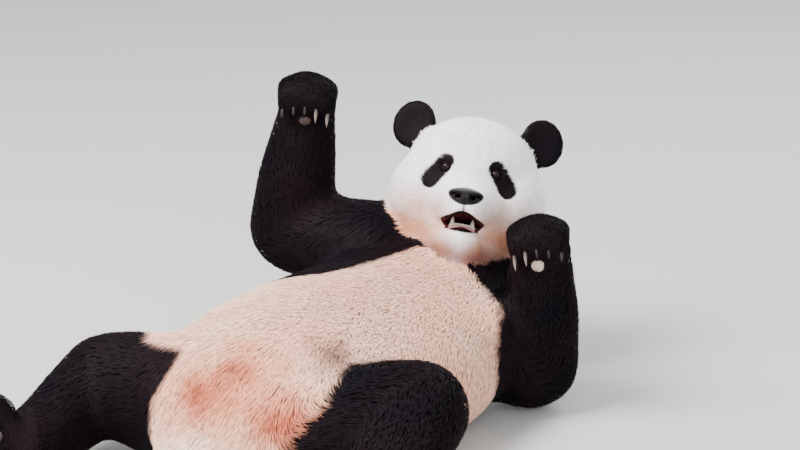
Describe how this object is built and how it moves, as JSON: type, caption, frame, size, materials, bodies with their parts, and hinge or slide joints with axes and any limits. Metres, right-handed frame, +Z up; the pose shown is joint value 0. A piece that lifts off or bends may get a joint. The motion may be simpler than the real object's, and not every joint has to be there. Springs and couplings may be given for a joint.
{
  "type": "giant panda animal figure",
  "caption": "Life-size giant panda lying on its back, head raised with the mouth open, one forearm upright and one paw held by the cheek.",
  "frame": {"origin": "centre of the bounding box's base, on the floor that the animal lies on", "axes": "+Y from the rump to the head, +X to the animal's own left, +Z up out of its belly"},
  "size_m": [0.9466, 1.2412, 0.6328],
  "materials": {
    "white_coat": "short dense near-white fur",
    "cream_coat": "dense cream fur, pink to rust red towards the groin",
    "black_coat": "dense black fur with a slight brown sheen",
    "eye": "wet dark brown eye",
    "nose_leather": "moist black nose leather",
    "claw": "pale horn",
    "teeth": "wet ivory enamel on pink gums",
    "tongue": "moist pink tongue"
  },
  "bodies": {
    "root": {"claw_forepaw_left_1": "claw", "claw_forepaw_left_2": "claw", "claw_forepaw_left_3": "claw", "claw_forepaw_left_4": "claw", "claw_forepaw_left_5": "claw", "claw_forepaw_right_1": "claw", "claw_forepaw_right_2": "claw", "claw_forepaw_right_3": "claw", "claw_forepaw_right_4": "claw", "claw_forepaw_right_5": "claw", "claw_hindfoot_left_1": "claw", "claw_hindfoot_left_2": "claw", "claw_hindfoot_left_3": "claw", "claw_hindfoot_left_4": "claw", "claw_hindfoot_left_5": "claw", "claw_hindfoot_right_1": "claw", "claw_hindfoot_right_2": "claw", "claw_hindfoot_right_3": "claw", "claw_hindfoot_right_4": "claw", "claw_hindfoot_right_5": "claw", "ear_left": "black_coat", "ear_right": "black_coat", "eye_left": "eye", "eye_right": "eye", "forearm_left": "black_coat", "forearm_right": "black_coat", "forepaw_left": "black_coat", "forepaw_right": "black_coat", "head": "white_coat", "hindfoot_left": "black_coat", "hindfoot_right": "black_coat", "jaw": "white_coat", "lower_teeth": "teeth", "neck": "black_coat", "nose": "nose_leather", "shank_left": "black_coat", "shank_right": "black_coat", "tail": "cream_coat", "thigh_left": "black_coat", "thigh_right": "black_coat", "tongue": "tongue", "trunk": "cream_coat", "upper_arm_left": "black_coat", "upper_arm_right": "black_coat", "upper_teeth": "teeth"}
  },
  "joints": []
}
